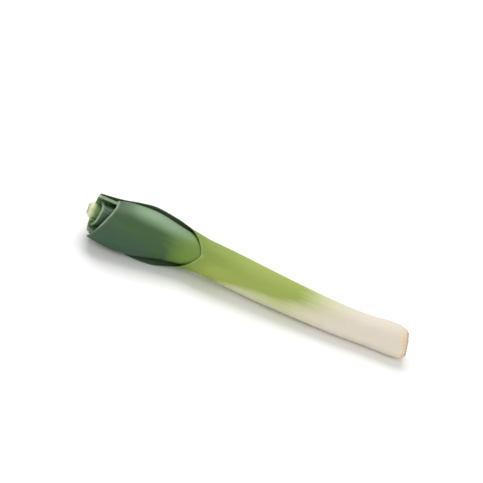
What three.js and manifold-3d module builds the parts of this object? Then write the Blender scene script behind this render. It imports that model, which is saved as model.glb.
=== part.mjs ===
// A trimmed leek lying on a table: a root plate, five sheathing leaves nested one inside the next, and
// the heart leaf. Millimetres, +Z up. The root plate is at +X and the cut leaf ends at -X. The origin
// is under the middle of the box.
//
// Every piece is first worked out on a straight leek, in three measures: t along the leek from the root
// face, and k and m across it. +k is the way the second leaf's keel faces, low to the -Y side, and +m
// is at right angles to it, mostly up. onLeek() then lays that straight leek along its gently bent
// centre line.
import * as THREE from "three";
import { mergeVertices } from "three/addons/utils/BufferGeometryUtils.js";
import Module from "manifold-3d";

// Driving dimensions
const LENGTH = 340; // root face to the straight part of the leaf cut
const SHANK_RADIUS = 15.5; // at its slimmest, above the bulb
const KEEL_TILT = 30; // degrees that the second leaf's keel looks up from the floor
const SHEATH_GAP = 0.35; // between one sheath and the next
const ROW_STEP = 16; // longest step along a blade
const KEEL_THICKNESS = 2.0;
const MARGIN_THICKNESS = 0.9;
const ROOT_SLANT = 0.22; // the root end is cut a little off square: mm along per mm across
const SLANT_FADE = [12, 45]; // where that slant dies out along the shank

// Radius of the outermost sheath along the leek: rounded root end, low bulb, slim shank, fuller top
const SHEATH_RADIUS = [
  [0, SHANK_RADIUS - 1.1],
  [5, SHANK_RADIUS - 0.2],
  [9, SHANK_RADIUS + 0.9],
  [17, SHANK_RADIUS + 1.3],
  [26, SHANK_RADIUS + 1.0],
  [42, SHANK_RADIUS + 0.2],
  [75, SHANK_RADIUS + 0.4],
  [108, SHANK_RADIUS + 1.0],
  [152, SHANK_RADIUS + 2.1],
  [190, SHANK_RADIUS + 2.6],
  [224, SHANK_RADIUS + 2.7],
];
const SHEATH_TOP = 217; // above this each leaf keeps its own width and depth

// Centre line: how far it sways towards +Y and how high it runs
const CENTRE_SWAY = [
  [0, 1],
  [17, 0],
  [72, -4.2],
  [130, -4.2],
  [210, -0.8],
  [240, 0.6],
  [262, -0.6],
  [302, -7.2],
  [350, -15.8],
];
const CENTRE_HEIGHT = [
  [0, 16.3],
  [17, 16.2],
  [45, 16.0],
  [75, 16.4],
  [147, 19.5],
  [210, 22.8],
  [260, 24.3],
  [285, 24.9],
  [315, 26.4],
  [350, 29.6],
];

// The leaves from the outside in. Their keels face alternately away from and towards +k. mouth: where
// the sheath opens. notch: how long the opening takes to reach the blade's half angle. wide and deep:
// half width along m and half depth along k of the blade's section, and shift: its place along m. cut:
// the blade's end, and how far it leans along k and along m.
const LEAVES = [
  {
    name: "leaf_1_outer",
    colour: 0x9fb76a,
    keel: 180,
    sides: 26,
    base: 5.2,
    sheath: 1.8,
    mouth: 224,
    notch: 23,
    halfAngle: [
      [247, 88],
      [270, 90],
      [285, 89],
      [300, 82],
      [315, 70],
      [340, 64],
    ],
    wide: [
      [224, 18.3],
      [242, 20.8],
      [259, 25.3],
      [282, 29.6],
      [297, 28.6],
      [312, 26.9],
      [340, 23.8],
    ],
    deep: [
      [224, 18.2],
      [242, 19.4],
      [259, 21.0],
      [282, 23.8],
      [300, 26.0],
      [340, 27.4],
    ],
    shift: [
      [224, 0],
      [242, -0.2],
      [272, -0.6],
      [340, -0.6],
    ],
    twist: [
      [259, 0],
      [300, -7],
      [340, -13],
    ],
    cut: [339, 0.2, 0.06],
  },
  {
    name: "leaf_2",
    colour: 0x4a6a43,
    keel: 0,
    sides: 26,
    base: 6.1,
    sheath: 1.9,
    mouth: 240,
    notch: 26,
    halfAngle: [
      [266, 104],
      [290, 97],
      [340, 90],
    ],
    wide: [
      [224, 16.0],
      [242, 17.0],
      [259, 19.8],
      [282, 24.5],
      [302, 25.8],
      [322, 25.1],
      [340, 23.1],
    ],
    deep: [
      [224, 16.0],
      [242, 16.9],
      [259, 18.6],
      [282, 21.0],
      [312, 22.2],
      [340, 22.8],
    ],
    shift: [
      [255, 0],
      [268, 0.7],
      [282, 0.6],
      [302, -0.5],
      [340, -0.4],
    ],
    twist: [
      [259, 0],
      [297, 5],
      [340, 18],
    ],
    cut: [329.5, -0.08, -0.42],
  },
  {
    name: "leaf_3",
    colour: 0x5d7f4a,
    keel: 180,
    sides: 24,
    base: 7.3,
    sheath: 2.1,
    mouth: 259,
    notch: 24,
    halfAngle: [
      [283, 104],
      [315, 114],
      [340, 117],
    ],
    wide: [
      [224, 13.7],
      [259, 14.6],
      [282, 17.6],
      [312, 19.3],
      [340, 19.2],
    ],
    deep: [
      [224, 13.7],
      [259, 14.4],
      [282, 16.4],
      [312, 18.0],
      [340, 19.0],
    ],
    shift: [
      [283, 0],
      [312, 0.7],
      [340, 1.9],
    ],
    twist: [
      [259, 0],
      [340, 4],
    ],
    cut: [340, 0.06, 0.02],
  },
  {
    name: "leaf_4",
    colour: 0x7fa35c,
    keel: 0,
    sides: 22,
    base: 8.7,
    sheath: 2.2,
    mouth: 278,
    notch: 22,
    halfAngle: [[300, 104]],
    wide: [
      [224, 11.2],
      [259, 11.4],
      [282, 12.0],
      [312, 13.0],
      [340, 13.0],
    ],
    deep: [
      [224, 11.2],
      [259, 11.4],
      [282, 12.0],
      [312, 13.1],
      [340, 13.2],
    ],
    shift: [
      [280, 0],
      [340, 2.4],
    ],
    twist: [
      [282, 0],
      [340, 18],
    ],
    cut: [337.1, -0.2, -0.11],
  },
  {
    name: "leaf_5",
    colour: 0xb3c888,
    keel: 180,
    sides: 18,
    base: 10.0,
    sheath: 2.2,
    mouth: 297,
    notch: 20,
    halfAngle: [[317, 112]],
    wide: [
      [224, 8.65],
      [282, 8.7],
      [312, 9.9],
      [340, 10.1],
    ],
    deep: [
      [224, 8.65],
      [282, 8.7],
      [312, 10.1],
      [340, 10.8],
    ],
    shift: [
      [295, 0],
      [340, 3.9],
    ],
    twist: [
      [297, 0],
      [340, 10],
    ],
    cut: [340.5, -0.05, 0],
  },
  {
    name: "leaf_6_heart",
    colour: 0xdfe6ad,
    keel: 0,
    sides: 16,
    base: 12.9,
    sheath: 2.2,
    mouth: 315,
    notch: 16,
    halfAngle: [[331, 130]],
    wide: [
      [224, 6.1],
      [282, 5.9],
      [312, 7.1],
      [330, 8.2],
      [336, 8.2],
      [338.5, 7.4],
      [340, 5.6],
    ],
    deep: [
      [224, 6.1],
      [282, 5.9],
      [312, 7.0],
      [330, 8.1],
      [336, 8.1],
      [338.5, 7.3],
      [340, 5.5],
    ],
    shift: [
      [295, 0],
      [340, 4.3],
    ],
    twist: [
      [315, 0],
      [340, 14],
    ],
    cut: [346.2, 0, 0],
    pit: 303, // below this the heart is solid
    step: 3, // rows stand closer together where the heart rounds off
  },
];

// Sheath rows that every leaf shares, so that the facets of neighbours run parallel
const SHEATH_ROWS = [9, 14, 22, 36, 60, 90, 120, 152, 186, 217];
const MOUTH_SHARES = [0.1, 0.3, 0.6, 1.0]; // rows inside the notch, as shares of its length
const NOTCH_ROUNDING = 0.68; // how round the bottom of the notch is
const BLADE_POWER = 1.8; // section of a blade: 2 is an ellipse, less draws out a keel
const CUT_FADE = 297; // above this, rows lean over gradually to the slant of the cut

// Root plate, in t and radius: cut face, bevel that bears the root stubs, rim, and the cone that the
// leaves stand on
const PLATE_PROFILE = [
  [0.5, 0],
  [0.5, 5.5],
  [0, 11.2],
  [0.4, 12.4],
  [1.8, 13.8],
  [3.4, 14.5],
  [4.3, 14.2],
  [4.5, 13.4],
];
const CONE_TOP = 12.2;
const PLATE_SIDES = 28;
// Rings of trimmed root stubs: t, radius, how many, and how far they lean outwards in degrees
const STUB_RINGS = [
  { t: 1.3, radius: 12.9, count: 20, lean: 38 },
  { t: 2.7, radius: 13.7, count: 24, lean: 62 },
  { t: 3.7, radius: 13.8, count: 18, lean: 76 },
];
const STUB_SIDES = 5;
const STUB_RADIUS = [0.6, 0.95];
const STUB_LENGTH = [0.9, 2.0];
const STUB_SUNK = 1.2;
const FACE_STUBS = 18; // roots cut flush with the face
const FACE_STUB_RISE = 0.5;
const GOLDEN_ANGLE = Math.PI * (3 - Math.sqrt(5));

const wasm = await Module();
wasm.setup();

// A smooth curve through [place, value] keys: cubic pieces whose slopes come from the neighbouring keys.
function through(keys, place) {
  const last = keys.length - 1;
  if (place <= keys[0][0]) return keys[0][1];
  if (place >= keys[last][0]) return keys[last][1];
  const i = keys.findIndex((key) => key[0] > place) - 1;
  const slope = (n) => {
    const before = keys[Math.max(n - 1, 0)];
    const after = keys[Math.min(n + 1, last)];
    return (after[1] - before[1]) / (after[0] - before[0]);
  };
  const width = keys[i + 1][0] - keys[i][0];
  const s = (place - keys[i][0]) / width;
  const rise = keys[i + 1][1] - keys[i][1];
  const bump = s * (1 - s) * ((1 - s) * (slope(i) * width - rise) - s * (slope(i + 1) * width - rise));
  return keys[i][1] + rise * s + bump;
}

function fade(from, to, place) {
  const s = Math.min(Math.max((place - from) / (to - from), 0), 1);
  return s * s * (3 - 2 * s);
}

// A repeatable random number from 0 to 1, by a multiplicative generator
function seededRandom(seed) {
  let state = seed;
  return () => {
    state = (state * 48271) % 2147483647;
    return state / 2147483647;
  };
}

function centre(t) {
  return new THREE.Vector3(-t, through(CENTRE_SWAY, t), through(CENTRE_HEIGHT, t));
}

// Lays a point of the straight leek on the bent one.
function onLeek(t, k, m) {
  const slanted = t + ROOT_SLANT * m * (1 - fade(SLANT_FADE[0], SLANT_FADE[1], t));
  const along = centre(slanted + 1).sub(centre(slanted - 1)).normalize();
  const tilt = THREE.MathUtils.degToRad(KEEL_TILT);
  const kAxis = new THREE.Vector3(0, -Math.cos(tilt), Math.sin(tilt));
  kAxis.addScaledVector(along, -kAxis.dot(along)).normalize();
  const mAxis = new THREE.Vector3().crossVectors(along, kAxis);
  return centre(slanted).addScaledVector(kAxis, k).addScaledVector(mAxis, m);
}

// How far the sheath of a leaf lies inside the outermost surface
function sheathInset(index) {
  return LEAVES.slice(0, index).reduce((sum, leaf) => sum + leaf.sheath + SHEATH_GAP, 0);
}

// Half the angle that a leaf spans round the leek at t: 180 is a closed sheath.
function halfAngle(leaf, t) {
  if (t <= leaf.mouth) return 180;
  const opened = Math.min((t - leaf.mouth) / leaf.notch, 1) ** NOTCH_ROUNDING;
  return 180 - (180 - through(leaf.halfAngle, t)) * opened;
}

// Distance of the leaf's outer face from the centre line, in a direction given by degrees from its keel
function outerRadius(leaf, index, t, fromKeel) {
  const sheath = through(SHEATH_RADIUS, Math.min(t, SHEATH_TOP)) - sheathInset(index);
  const wide = t <= SHEATH_TOP ? sheath : through([[SHEATH_TOP, sheath], ...leaf.wide], t);
  const deep = t <= SHEATH_TOP ? sheath : through([[SHEATH_TOP, sheath], ...leaf.deep], t);
  const power = 2 - (2 - BLADE_POWER) * fade(leaf.mouth, leaf.mouth + 2 * leaf.notch, t);
  const a = THREE.MathUtils.degToRad(fromKeel);
  return (Math.abs(Math.cos(a) / deep) ** power + Math.abs(Math.sin(a) / wide) ** power) ** (-1 / power);
}

// Thickness at a share of the half width (0 the keel, 1 the margin)
function thickness(leaf, t, share) {
  const blade = THREE.MathUtils.lerp(KEEL_THICKNESS, MARGIN_THICKNESS, share ** 1.5);
  return THREE.MathUtils.lerp(leaf.sheath, blade, fade(leaf.mouth - 40, leaf.mouth + 10, t));
}

// A point of a leaf's outer or inner face. across runs from -1 to 1 over its width. What would reach
// below the floor is pressed flat on it, as thick as the leaf's margin.
function leafPoint(leaf, index, row, across, inner) {
  const twist = through(leaf.twist, row);
  const at = (t) => {
    const fromKeel = across * halfAngle(leaf, t);
    const radius = outerRadius(leaf, index, t, fromKeel) - (inner ? thickness(leaf, t, Math.abs(across)) : 0);
    const angle = THREE.MathUtils.degToRad(leaf.keel + fromKeel + twist);
    return [radius * Math.cos(angle), radius * Math.sin(angle) + through(leaf.shift, row)];
  };
  const [k, m] = at(row);
  const [end, leanK, leanM] = leaf.cut;
  const cutHere = end + leanK * at(LENGTH)[0] + leanM * at(LENGTH)[1];
  const stretched = CUT_FADE + ((row - CUT_FADE) * (cutHere - CUT_FADE)) / (LENGTH - CUT_FADE);
  const t = row <= CUT_FADE ? row : stretched;
  const point = onLeek(t, k, m);
  point.z = Math.max(point.z, inner ? MARGIN_THICKNESS : 0);
  return point;
}

function leafRows(leaf) {
  const sheath = [leaf.base, ...SHEATH_ROWS.filter((t) => t > leaf.base + 2)];
  const toMouth = evenly(SHEATH_ROWS.at(-1), leaf.mouth, ROW_STEP);
  const notch = MOUTH_SHARES.map((share) => leaf.mouth + share * leaf.notch);
  return [...sheath, ...toMouth, ...notch, ...evenly(notch.at(-1), LENGTH, leaf.step ?? ROW_STEP)];
}

// The places after from, up to and including to, in even steps no longer than step
function evenly(from, to, step) {
  const count = Math.ceil((to - from) / step);
  return Array.from({ length: count }, (_, i) => from + ((i + 1) * (to - from)) / count);
}

// One leaf as a closed shell: a tube up to its mouth, then an open blade whose two margins part at the
// notch.
function leafGeometry(leaf, index) {
  const rows = leafRows(leaf);
  const { sides } = leaf;
  const positions = [];
  const faces = [];
  const vertex = (point) => {
    positions.push(point.x, point.y, point.z);
    return positions.length / 3 - 1;
  };
  const quad = (a, b, c, d) => faces.push(a, b, c, a, c, d);
  const pitRow = leaf.pit ? rows.findIndex((t) => t >= leaf.pit) : 0;

  // One ring or strip of vertices: a closed row uses its first vertex again as its last.
  const line = (row, inner) => {
    const closed = row <= leaf.mouth;
    const made = [];
    for (let j = 0; j <= sides - (closed ? 1 : 0); j += 1) {
      made.push(vertex(leafPoint(leaf, index, row, (2 * j) / sides - 1, inner)));
    }
    if (closed) made.push(made[0]);
    return made;
  };
  const outer = rows.map((row) => line(row, false));
  const inner = rows.map((row, r) => (r >= pitRow ? line(row, true) : null));

  for (let r = 0; r < rows.length - 1; r += 1) {
    for (let j = 0; j < sides; j += 1) {
      quad(outer[r][j], outer[r][j + 1], outer[r + 1][j + 1], outer[r + 1][j]);
      if (r >= pitRow) quad(inner[r][j + 1], inner[r][j], inner[r + 1][j], inner[r + 1][j + 1]);
    }
    if (rows[r + 1] > leaf.mouth) {
      quad(outer[r][sides], inner[r][sides], inner[r + 1][sides], outer[r + 1][sides]);
      quad(inner[r][0], outer[r][0], outer[r + 1][0], inner[r + 1][0]);
    }
  }
  const end = rows.length - 1;
  const middle = (t) => vertex(onLeek(t, 0, 0));
  const bottom = leaf.pit ? middle(leaf.base) : null;
  const pitFloor = leaf.pit ? middle(rows[pitRow]) : null;
  for (let j = 0; j < sides; j += 1) {
    quad(outer[end][j], outer[end][j + 1], inner[end][j + 1], inner[end][j]);
    if (leaf.pit) {
      faces.push(bottom, outer[0][j + 1], outer[0][j]);
      faces.push(pitFloor, inner[pitRow][j], inner[pitRow][j + 1]);
    } else {
      quad(outer[0][j], inner[0][j], inner[0][j + 1], outer[0][j + 1]);
    }
  }
  const geometry = new THREE.BufferGeometry();
  geometry.setAttribute("position", new THREE.Float32BufferAttribute(positions, 3));
  geometry.setIndex(faces);
  geometry.computeVertexNormals();
  return geometry;
}

// Turns a closed geometry into a solid that can be joined.
function solid(geometry) {
  const bare = geometry.clone().deleteAttribute("normal").deleteAttribute("uv");
  const merged = mergeVertices(bare, 1e-4);
  const vertProperties = new Float32Array(merged.attributes.position.array);
  const triVerts = new Uint32Array(merged.index.array);
  return new wasm.Manifold(new wasm.Mesh({ numProp: 3, vertProperties, triVerts }));
}

// The root plate's body: its profile turned round the leek's axis, which lies along -X here
function plateBody() {
  const rim = PLATE_PROFILE.map(([t, radius]) => new THREE.Vector2(radius, t));
  const profile = [...rim, new THREE.Vector2(0, CONE_TOP)];
  return new THREE.LatheGeometry(profile, PLATE_SIDES).rotateZ(Math.PI / 2);
}

// A short stub standing on the point at t and radius, turned round the axis by angle and leaning outwards
function stub(t, radius, angle, lean, size, length) {
  const geometry = new THREE.CylinderGeometry(size * 0.8, size, length + STUB_SUNK, STUB_SIDES);
  geometry.translate(0, (length - STUB_SUNK) / 2, 0);
  geometry.rotateZ(-THREE.MathUtils.degToRad(90 - lean));
  geometry.translate(-t, radius, 0);
  return geometry.rotateX(angle);
}

// Root plate: cut face, bevel crowded with trimmed root stubs, and the cone inside the leaf bases
function rootPlateGeometry() {
  const random = seededRandom(2957);
  const between = ([low, high]) => low + (high - low) * random();
  let plate = solid(plateBody());
  for (const ring of STUB_RINGS) {
    for (let n = 0; n < ring.count; n += 1) {
      const angle = ((n + 0.6 * random()) * 2 * Math.PI) / ring.count;
      const size = between(STUB_RADIUS);
      const length = between(STUB_LENGTH) * (1 - ring.t / 8);
      plate = plate.add(solid(stub(ring.t, ring.radius, angle, ring.lean, size, length)));
    }
  }
  for (let n = 0; n < FACE_STUBS; n += 1) {
    const radius = 10.6 * Math.sqrt((n + 1.5) / (FACE_STUBS + 1));
    plate = plate.add(solid(stub(0.5, radius, n * GOLDEN_ANGLE, 0, between(STUB_RADIUS), FACE_STUB_RISE)));
  }
  const mesh = plate.getMesh();
  const geometry = new THREE.BufferGeometry();
  const positions = new Float32Array(mesh.numVert * 3);
  for (let i = 0; i < mesh.numVert; i += 1) {
    const [x, y, z] = mesh.vertProperties.subarray(i * mesh.numProp, i * mesh.numProp + 3);
    const point = onLeek(-x, -y, z);
    positions.set([point.x, point.y, Math.max(point.z, 0)], i * 3);
  }
  geometry.setAttribute("position", new THREE.BufferAttribute(positions, 3));
  geometry.setIndex(new THREE.BufferAttribute(mesh.triVerts, 1));
  geometry.computeVertexNormals();
  return geometry;
}

function piece(name, geometry, colour, roughness) {
  const material = new THREE.MeshStandardMaterial({ color: colour, roughness, metalness: 0 });
  const mesh = new THREE.Mesh(geometry, material);
  mesh.name = name;
  return mesh;
}

const leek = new THREE.Group();
leek.add(piece("root_plate", rootPlateGeometry(), 0xb98a63, 0.85));
LEAVES.forEach((leaf, index) => {
  leek.add(piece(leaf.name, leafGeometry(leaf, index), leaf.colour, 0.45));
});

// The origin goes under the middle of the whole leek.
const box = new THREE.Box3().setFromObject(leek);
const middleOfBox = box.getCenter(new THREE.Vector3());
leek.children.forEach((mesh) => mesh.position.set(-middleOfBox.x, -middleOfBox.y, -box.min.z));

export default leek;
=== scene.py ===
import math

import bpy
import numpy as np
from bpy.props import FloatProperty, FloatVectorProperty, IntProperty, PointerProperty
from mathutils import Matrix, Vector


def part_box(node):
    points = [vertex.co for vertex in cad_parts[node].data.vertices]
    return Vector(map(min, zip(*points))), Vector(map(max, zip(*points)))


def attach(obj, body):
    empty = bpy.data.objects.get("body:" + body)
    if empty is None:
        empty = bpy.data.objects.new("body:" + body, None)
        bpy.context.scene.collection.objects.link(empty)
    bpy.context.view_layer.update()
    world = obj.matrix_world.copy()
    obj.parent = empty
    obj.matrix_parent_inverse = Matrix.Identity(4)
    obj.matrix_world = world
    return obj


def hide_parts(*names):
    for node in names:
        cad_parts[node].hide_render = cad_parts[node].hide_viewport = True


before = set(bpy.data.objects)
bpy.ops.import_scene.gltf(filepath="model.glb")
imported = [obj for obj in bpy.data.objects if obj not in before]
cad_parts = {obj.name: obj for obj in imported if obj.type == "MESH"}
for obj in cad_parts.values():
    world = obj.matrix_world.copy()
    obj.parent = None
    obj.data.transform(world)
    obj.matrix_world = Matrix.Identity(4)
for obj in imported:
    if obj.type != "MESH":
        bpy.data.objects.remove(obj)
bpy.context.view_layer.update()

bl_info = {
    "name": "Trimmed leek",
    "version": (1, 0, 0),
    "blender": (4, 5, 0),
    "location": "3D View > Sidebar > Leek",
    "description": "Root plate, nested leaves and heart of a trimmed leek, on a pale studio floor",
    "category": "Add Mesh",
}

# Lengths in the tables and formulas below are millimetres, as in the source of the solids. Meshes are
# in metres. t runs along the leek from the root face, k and m across it.
MM = 0.001
LENGTH = 340.0  # the last row of every leaf, before the leaf's own cut moves it
TONE_LENGTH = 350.0  # the colour scale runs from 0 at the root face to 1 here
SHEATH_GAP = 0.35  # between one sheath and the next
SHEATH_TOP = 217.0  # the sheaths are round up to here
MARGIN_THICKNESS = 0.9  # of a blade
KEEL_THICKNESS = 2.0  # of a blade
THINNING = (-40, 10)  # from the mouth: where the sheath's thickness passes into the blade's
NOTCH_ROUNDING = 0.68  # under 1 rounds the bottom of the notch where a sheath opens
BLADE_POWER = 1.8  # power of a blade's superellipse: 2 is an ellipse, less draws out the keel
ROOT_SLANT = 0.22  # lean of the root face
SLANT_FADE = (12, 45)  # where that lean dies out up the shank
CUT_FADE = 297.0  # rows past it are stretched or drawn in, to end on the leaf's cut

# Radius of the outermost sheath, over the slimmest radius of the shank
SHEATH_SWELL = (
    (0, -1.1), (5, -0.2), (9, 0.9), (17, 1.3), (26, 1.0), (42, 0.2), (75, 0.4), (108, 1.0), (152, 2.1),
    (190, 2.6), (224, 2.7),
)
# The gently bent centre line: its place to the side and its height
CENTRE_SWAY = (
    (0, 1), (17, 0), (72, -4.2), (130, -4.2), (210, -0.8), (240, 0.6), (262, -0.6), (302, -7.2),
    (350, -15.8),
)
CENTRE_HEIGHT = (
    (0, 16.3), (17, 16.2), (45, 16.0), (75, 16.4), (147, 19.5), (210, 22.8), (260, 24.3), (285, 24.9),
    (315, 26.4), (350, 29.6),
)

# The leaves from the outside in, by the same measures as the solids.
# keel: where the leaf's back faces, in degrees from +k. base: where it starts. sheath: its thickness.
# mouth: where the sheath opens. notch: how long the opening takes to reach the blade's half angle.
# wide and deep: half width along m and half depth along k, and shift: the section's place along m.
# twist: its turn in degrees. cut: the blade's end, and how far it leans along k and along m.
# tone: how much further up the colour scale it is than its place. cool: so too, where it faces down.
# pale_cut: how pale its cut is. waxy: wax all over it. highlight_end: where the painted highlight on its
# upper side ends.
# pit: where the hollow of the heart ends. columns and rows: the mesh, with rows as (from, to, step).
LEAVES = {
    "leaf_1_outer": {
        "keel": 180, "base": 5.0, "sheath": 1.8, "mouth": 224, "notch": 23,
        "half_angle": ((247, 88), (270, 90), (285, 89), (300, 82), (315, 70), (340, 64)),
        "wide": ((224, 18.3), (242, 20.8), (259, 25.3), (282, 29.6), (297, 28.6), (312, 26.9), (340, 23.8)),
        "deep": ((224, 18.2), (242, 19.4), (259, 21.0), (282, 23.8), (300, 26.0), (340, 27.4)),
        "shift": ((224, 0), (242, -0.2), (272, -0.6), (300, -0.6), (340, -0.6)),
        "twist": ((259, 0), (300, -7), (340, -13)),
        "cut": (339, 0.2, 0.06),
        "columns": 240, "rows": ((5.0, 14, 1.0), (14, 216, 2.6), (216, 224, 1.3), (247, 340, 2.2)),
    },
    "leaf_2": {
        "keel": 0, "base": 6.1, "sheath": 1.9, "mouth": 240, "notch": 26,
        "half_angle": ((266, 104), (290, 97), (340, 90)),
        "wide": ((224, 16.0), (242, 17.0), (259, 19.8), (282, 24.5), (302, 25.8), (322, 25.1), (340, 23.1)),
        "deep": ((224, 16.0), (242, 16.9), (259, 18.6), (282, 21.0), (312, 22.2), (340, 22.8)),
        "shift": ((255, 0), (268, 0.7), (282, 0.6), (302, -0.5), (340, -0.4)),
        "twist": ((259, 0), (297, 5), (340, 18)),
        "cut": (329.5, -0.08, -0.42), "pale_cut": 0.8, "highlight_end": 340, "cool": 50,
        "columns": 260, "rows": ((6.1, 16, 2.5), (16, 210, 16), (210, 240, 2.0), (266, 340, 1.5)),
    },
    "leaf_3": {
        "keel": 180, "base": 7.3, "sheath": 2.1, "mouth": 259, "notch": 24,
        "half_angle": ((283, 104), (315, 114), (340, 117)),
        "wide": ((224, 13.7), (259, 14.6), (282, 17.6), (312, 19.3), (340, 19.2)),
        "deep": ((224, 13.7), (259, 14.4), (282, 16.4), (312, 18.0), (340, 19.0)),
        "shift": ((283, 0), (312, 0.7), (340, 1.9)),
        "twist": ((259, 0), (340, 4)),
        "cut": (340, 0.06, 0.02), "waxy": 0.7,
        "columns": 200, "rows": ((7.3, 16, 3), (16, 240, 16), (240, 259, 4), (283, 340, 1.6)),
    },
    "leaf_4": {
        "keel": 0, "base": 8.7, "sheath": 2.2, "mouth": 278, "notch": 22,
        "half_angle": ((300, 104),),
        "wide": ((224, 11.2), (259, 11.4), (282, 12.0), (312, 13.0), (340, 13.0)),
        "deep": ((224, 11.2), (259, 11.4), (282, 12.0), (312, 13.1), (340, 13.2)),
        "shift": ((280, 0), (340, 2.4)),
        "twist": ((282, 0), (340, 18)),
        "cut": (337.1, -0.2, -0.11),
        "columns": 180, "rows": ((8.7, 18, 4), (18, 262, 16), (262, 278, 4), (300, 340, 1.4)),
    },
    "leaf_5": {
        "keel": 180, "base": 10.0, "sheath": 2.2, "mouth": 297, "notch": 20,
        "half_angle": ((317, 112),),
        "wide": ((224, 8.65), (282, 8.7), (312, 9.9), (340, 10.1)),
        "deep": ((224, 8.65), (282, 8.7), (312, 10.1), (340, 10.8)),
        "shift": ((295, 0), (340, 3.9)),
        "twist": ((297, 0), (340, 10)),
        "cut": (340.5, -0.05, 0), "tone": -40, "pale_cut": 0.3,
        "columns": 140, "rows": ((10, 18, 4), (18, 281, 16), (281, 297, 4), (317, 340, 1.2)),
    },
    "leaf_6_heart": {
        "keel": 0, "base": 12.9, "sheath": 2.2, "mouth": 315, "notch": 16,
        "half_angle": ((331, 130),),
        "wide": ((224, 6.1), (282, 5.9), (312, 7.1), (330, 8.2), (336, 8.2), (338.5, 7.4), (340, 5.6)),
        "deep": ((224, 6.1), (282, 5.9), (312, 7.0), (330, 8.1), (336, 8.1), (338.5, 7.3), (340, 5.5)),
        "shift": ((295, 0), (340, 4.3)),
        "twist": ((315, 0), (340, 14)),
        "cut": (346.2, 0, 0), "pit": 303,
        "columns": 120, "rows": ((12.9, 20, 4), (20, 303, 16), (303, 315, 2), (331, 340, 0.5)),
    },
}
NOTCH_ROWS = 16  # rows of vertices along a notch
MARGIN_ROUNDING = 0.018  # how far a margin's middle stands out, as a share of the half width
MARGIN_START = 6  # past the mouth, how soon the margin is that round
CUT_BEVEL = 1.1  # how much further the inner face runs than the outer one at the cut
# Waves of a cut: (number round the leek, height, how far the mouth's place turns them)
CUT_WAVES = ((5, 0.16, 1), (13, 0.096, 0))
CUT_SUNK = 0.25  # how far the middle of a cut edge lies below its sides

# Waves of all sheaths: (number round the leek, length along it over 2 pi, phase, share of the ripple)
WAVES = ((3, 31, 0.0, 0.5), (5, -23, 1.3, 0.35), (7, 17, 4.0, 0.25))
RIDGE_WIDTH = 0.035  # half width of the midrib, as a share of the leaf's half width
SHEATH_VEINS = 0.3  # height of a vein on a sheath, over its height on a blade
VEIN_START = 12  # over this length from a leaf's base the veins rise
BLADE_START = 10  # before the mouth, where the blade's relief sets in
INNER_RELIEF = 0.25  # share of the relief that the inner face shows

# Tints that follow the shape, and a painted highlight on the side that looks up
RIM_WIDTH = 1.3  # pale skin round a sheath's mouth
RIM_REACH = 4  # how far that skin follows the margins past the mouth
CUT_RIM_WIDTH = 0.8  # pale edge round a cut
CUT_RIM_STRENGTH = 0.35
LOW_CUT_PALENESS = 0.15  # share of its paleness that a cut keeps on the lower side
CUT_PALENESS_RISE = (-14, -3)  # along m: where the cut goes from that share up to its full paleness
HIGHLIGHT_SIDES = (0.1, 0.7)  # how far up a side looks where the painted highlight starts, and where it is full
HIGHLIGHT_START = (226, 266)  # where the painted highlight comes in along the leek
HIGHLIGHT_MIDDLE = 250
HIGHLIGHT_DRAW = 0.005  # per millimetre past the middle given above, how much the painted highlight draws back to the upper edge
HIGHLIGHT_FADE = 275  # the painted highlight starts to thin out here
HIGHLIGHT_END = 400
COOL_SIDES = (0.1, 0.8)  # how far down a side looks where its colours cool
COOL_START = (250, 290)
LIT_SLIDE = 0.6  # strength of the slide of colours round the leek, where a side looks up
LIT_END = (245, 150)
SHADED_SLIDE = 1.4  # the same where it looks down
SHADED_SWELL = 1.6  # how much stronger that gets, over the next run
SHADED_SWELL_RUN = (120, 180)
SHADED_END = (232, 196)
SLIDE_START = (15, 60)  # both slides come in here
GRAIN_LENGTH = 100  # one unit of the streaks' place along the leek
BOX_COLUMNS = 97  # columns that find the outer leaf's box


def number(name, description, default, **kind):
    """A number property, with its unit or subtype."""
    return FloatProperty(name=name, description=description, default=default, **kind)


class LeekForm(bpy.types.PropertyGroup):
    """Sizes of the leek. Their defaults fit the solids"""

    shank_radius: number("Shank radius", "Radius of the shank at its slimmest", 15.5 * MM, unit="LENGTH")
    keel_tilt: number(
        "Keel tilt", "How far the second leaf's keel looks up from the floor", math.radians(30),
        subtype="ANGLE")
    veins: IntProperty(
        name="Veins", description="Parallel veins over the full width of a leaf", default=64)
    vein_height: number("Vein height", "Height of a vein on an open blade", 0.07 * MM, unit="LENGTH")
    keel_rise: number(
        "Keel rise", "How far the midrib stands out of a blade's back", 0.45 * MM, unit="LENGTH")
    ripple: number("Ripple", "Height of the long, soft waves in the leaves", 0.16 * MM, unit="LENGTH")


def colour(name, description, srgb):
    """A colour property whose default is given as 0 to 255 display values, kept as linear light."""
    linear = [((c / 255 + 0.055) / 1.055) ** 2.4 for c in srgb]
    return FloatVectorProperty(
        name=name, description=description, default=linear, size=3, min=0, max=1, subtype="COLOR")


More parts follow.
